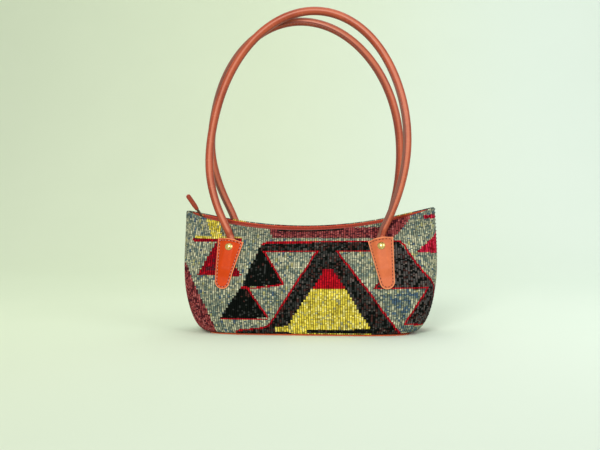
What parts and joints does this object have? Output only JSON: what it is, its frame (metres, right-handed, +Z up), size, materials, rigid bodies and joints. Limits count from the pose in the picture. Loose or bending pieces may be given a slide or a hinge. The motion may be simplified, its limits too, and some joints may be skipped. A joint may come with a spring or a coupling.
{
  "type": "baguette bag",
  "caption": "Ribbed kilim shoulder bag on a flat leather base, with rolled leather handles, riveted tabs and a zip along its sagging mouth.",
  "frame": {"origin": "centre of the flat underside of the leather base", "axes": "+Z up, X along the bag's width, the front with the zip pull on the left faces -Y"},
  "size_m": [0.3306, 0.0892, 0.4166],
  "materials": {
    "kilim": "matte",
    "tan_leather": "satin",
    "brown_leather": "satin",
    "lining_cloth": "matte",
    "tape_cloth": "matte",
    "board": "matte",
    "brass": "satin"
  },
  "bodies": {
    "bag": {"front_panel": "kilim", "back_panel": "kilim", "base_panel": "tan_leather", "base_board": "board", "lining": "lining_cloth", "front_facing": "tan_leather", "back_facing": "tan_leather", "front_zip_tape": "tape_cloth", "back_zip_tape": "tape_cloth", "left_zip_stop": "brass", "right_zip_stop": "brass", "front_left_handle_end": "tan_leather", "front_right_handle_end": "tan_leather", "back_left_handle_end": "tan_leather", "back_right_handle_end": "tan_leather", "front_left_tab": "tan_leather", "front_right_tab": "tan_leather", "back_left_tab": "tan_leather", "back_right_tab": "tan_leather", "front_left_rivet": "brass", "front_right_rivet": "brass", "back_left_rivet": "brass", "back_right_rivet": "brass", "front_left_rivet_cap": "brass", "front_right_rivet_cap": "brass", "back_left_rivet_cap": "brass", "back_right_rivet_cap": "brass"},
    "front_handle": {"front_handle": "tan_leather"},
    "back_handle": {"back_handle": "tan_leather"},
    "slider": {"zip_slider": "brass"},
    "pull": {"pull_link": "brass", "zip_pull": "brown_leather"}
  },
  "joints": [
    {"name": "front_handle_fold", "type": "hinge", "parent": "bag", "child": "front_handle", "pos_m": [0, -0.02678, 0.132], "axis": [1, 0, 0], "range_deg": [0, 95]},
    {"name": "back_handle_fold", "type": "hinge", "parent": "bag", "child": "back_handle", "pos_m": [0, 0.0282, 0.132], "axis": [-1, 0, 0], "range_deg": [0, 95]},
    {"name": "slider_travel", "type": "hinge", "parent": "bag", "child": "slider", "pos_m": [0, 0, 0.67952], "axis": [0, -1, 0], "range_deg": [0, 30.2]},
    {"name": "pull_swing", "type": "hinge", "parent": "slider", "child": "pull", "pos_m": [-0.14264, 0, 0.15127], "axis": [0, 1, 0], "range_deg": [-23, 116]}
  ]
}
